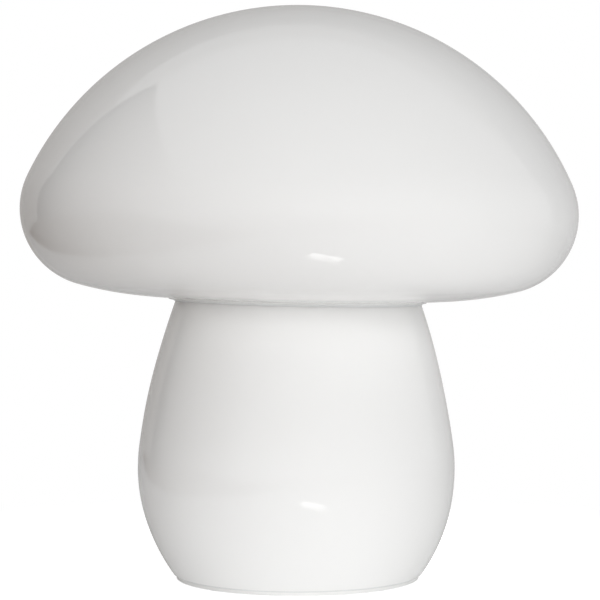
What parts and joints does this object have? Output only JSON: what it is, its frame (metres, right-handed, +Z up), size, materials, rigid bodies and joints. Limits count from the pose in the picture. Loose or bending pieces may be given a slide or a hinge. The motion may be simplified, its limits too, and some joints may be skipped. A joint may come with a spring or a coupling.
{
  "type": "mushroom table lamp",
  "caption": "Table lamp of opal glass: a domed mushroom shade rests on the neck of a pear-shaped glass stem and hides a screw-in bulb.",
  "frame": {"origin": "middle of the foot, on the table", "axes": "+Z up along the lamp's axis, +Y towards the back, where the cable inlet is"},
  "size_m": [0.28, 0.28, 0.2889],
  "materials": {
    "opal_glass": "blown opal white, glossy",
    "clear_silicone": "clear silicone, satin",
    "white_steel": "white powder coat, satin",
    "zinc_steel": "bright zinc plate",
    "brass": "turned brass",
    "nickel_shell": "nickel-plated brass",
    "bronze_spring": "spring bronze strip",
    "white_plastic": "moulded white thermoplastic",
    "white_ceramic": "pressed and glazed ceramic",
    "grommet_rubber": "white rubber",
    "block_nylon": "natural nylon",
    "opal_globe": "opal polycarbonate, satin",
    "bulb_insulator": "black glass-filled plastic",
    "led_board": "white-coated aluminium board",
    "led_phosphor": "yellow phosphor",
    "driver_board": "green circuit board",
    "brown_pvc": "brown insulation",
    "blue_pvc": "blue insulation"
  },
  "bodies": {
    "stem": {"stem_glass": "opal_glass", "cable_grommet": "grommet_rubber", "foot_pads": "clear_silicone", "base_plate": "white_steel", "foot_gasket": "clear_silicone", "neck_gasket": "clear_silicone", "neck_pan": "white_steel", "conduit_tube": "zinc_steel", "tube_nuts": "zinc_steel", "tube_washers": "zinc_steel", "lock_washer": "zinc_steel", "holder_cap": "white_plastic", "holder_sleeve": "white_plastic", "holder_insert": "white_ceramic", "holder_shell": "nickel_shell", "centre_contact": "bronze_spring", "holder_terminals": "brass", "terminal_screws": "zinc_steel", "contact_rivets": "brass", "grub_screw": "zinc_steel", "terminal_block": "block_nylon", "block_sleeves": "brass", "block_screws": "zinc_steel", "block_fixing_screw": "zinc_steel", "block_fixing_nut": "zinc_steel", "lead_live": "brown_pvc", "lead_neutral": "blue_pvc"},
    "shade_seat": {"shade_seat_ring": "clear_silicone"},
    "shade": {"shade_glass": "opal_glass"},
    "bulb_contact": {"bulb_tip": "nickel_shell", "bulb_insulator": "bulb_insulator"},
    "bulb": {"bulb_cap": "nickel_shell", "bulb_collar": "white_plastic", "bulb_envelope": "opal_globe", "led_board": "led_board", "led_chips": "led_phosphor", "led_driver": "driver_board"}
  },
  "joints": [
    {"name": "shade_turn", "type": "hinge", "parent": "stem", "child": "shade_seat", "pos_m": [0, 0, 0.1421], "axis": [0, 0, 1], "continuous": true},
    {"name": "shade_lift", "type": "slide", "parent": "shade_seat", "child": "shade", "axis": [0, 0, 1], "range_m": [0, 0.13]},
    {"name": "bulb_travel", "type": "slide", "parent": "stem", "child": "bulb_contact", "axis": [0, 0, 1], "range_m": [0, 0.01815]},
    {"name": "bulb_unscrew", "type": "hinge", "parent": "bulb_contact", "child": "bulb", "pos_m": [0, 0, 0.165], "axis": [0, 0, 1], "range_deg": [0, 1800]}
  ],
  "couplings": [
    {"joint": "bulb_travel", "follows": "bulb_unscrew", "m_per_rad": 0.00057757}
  ]
}
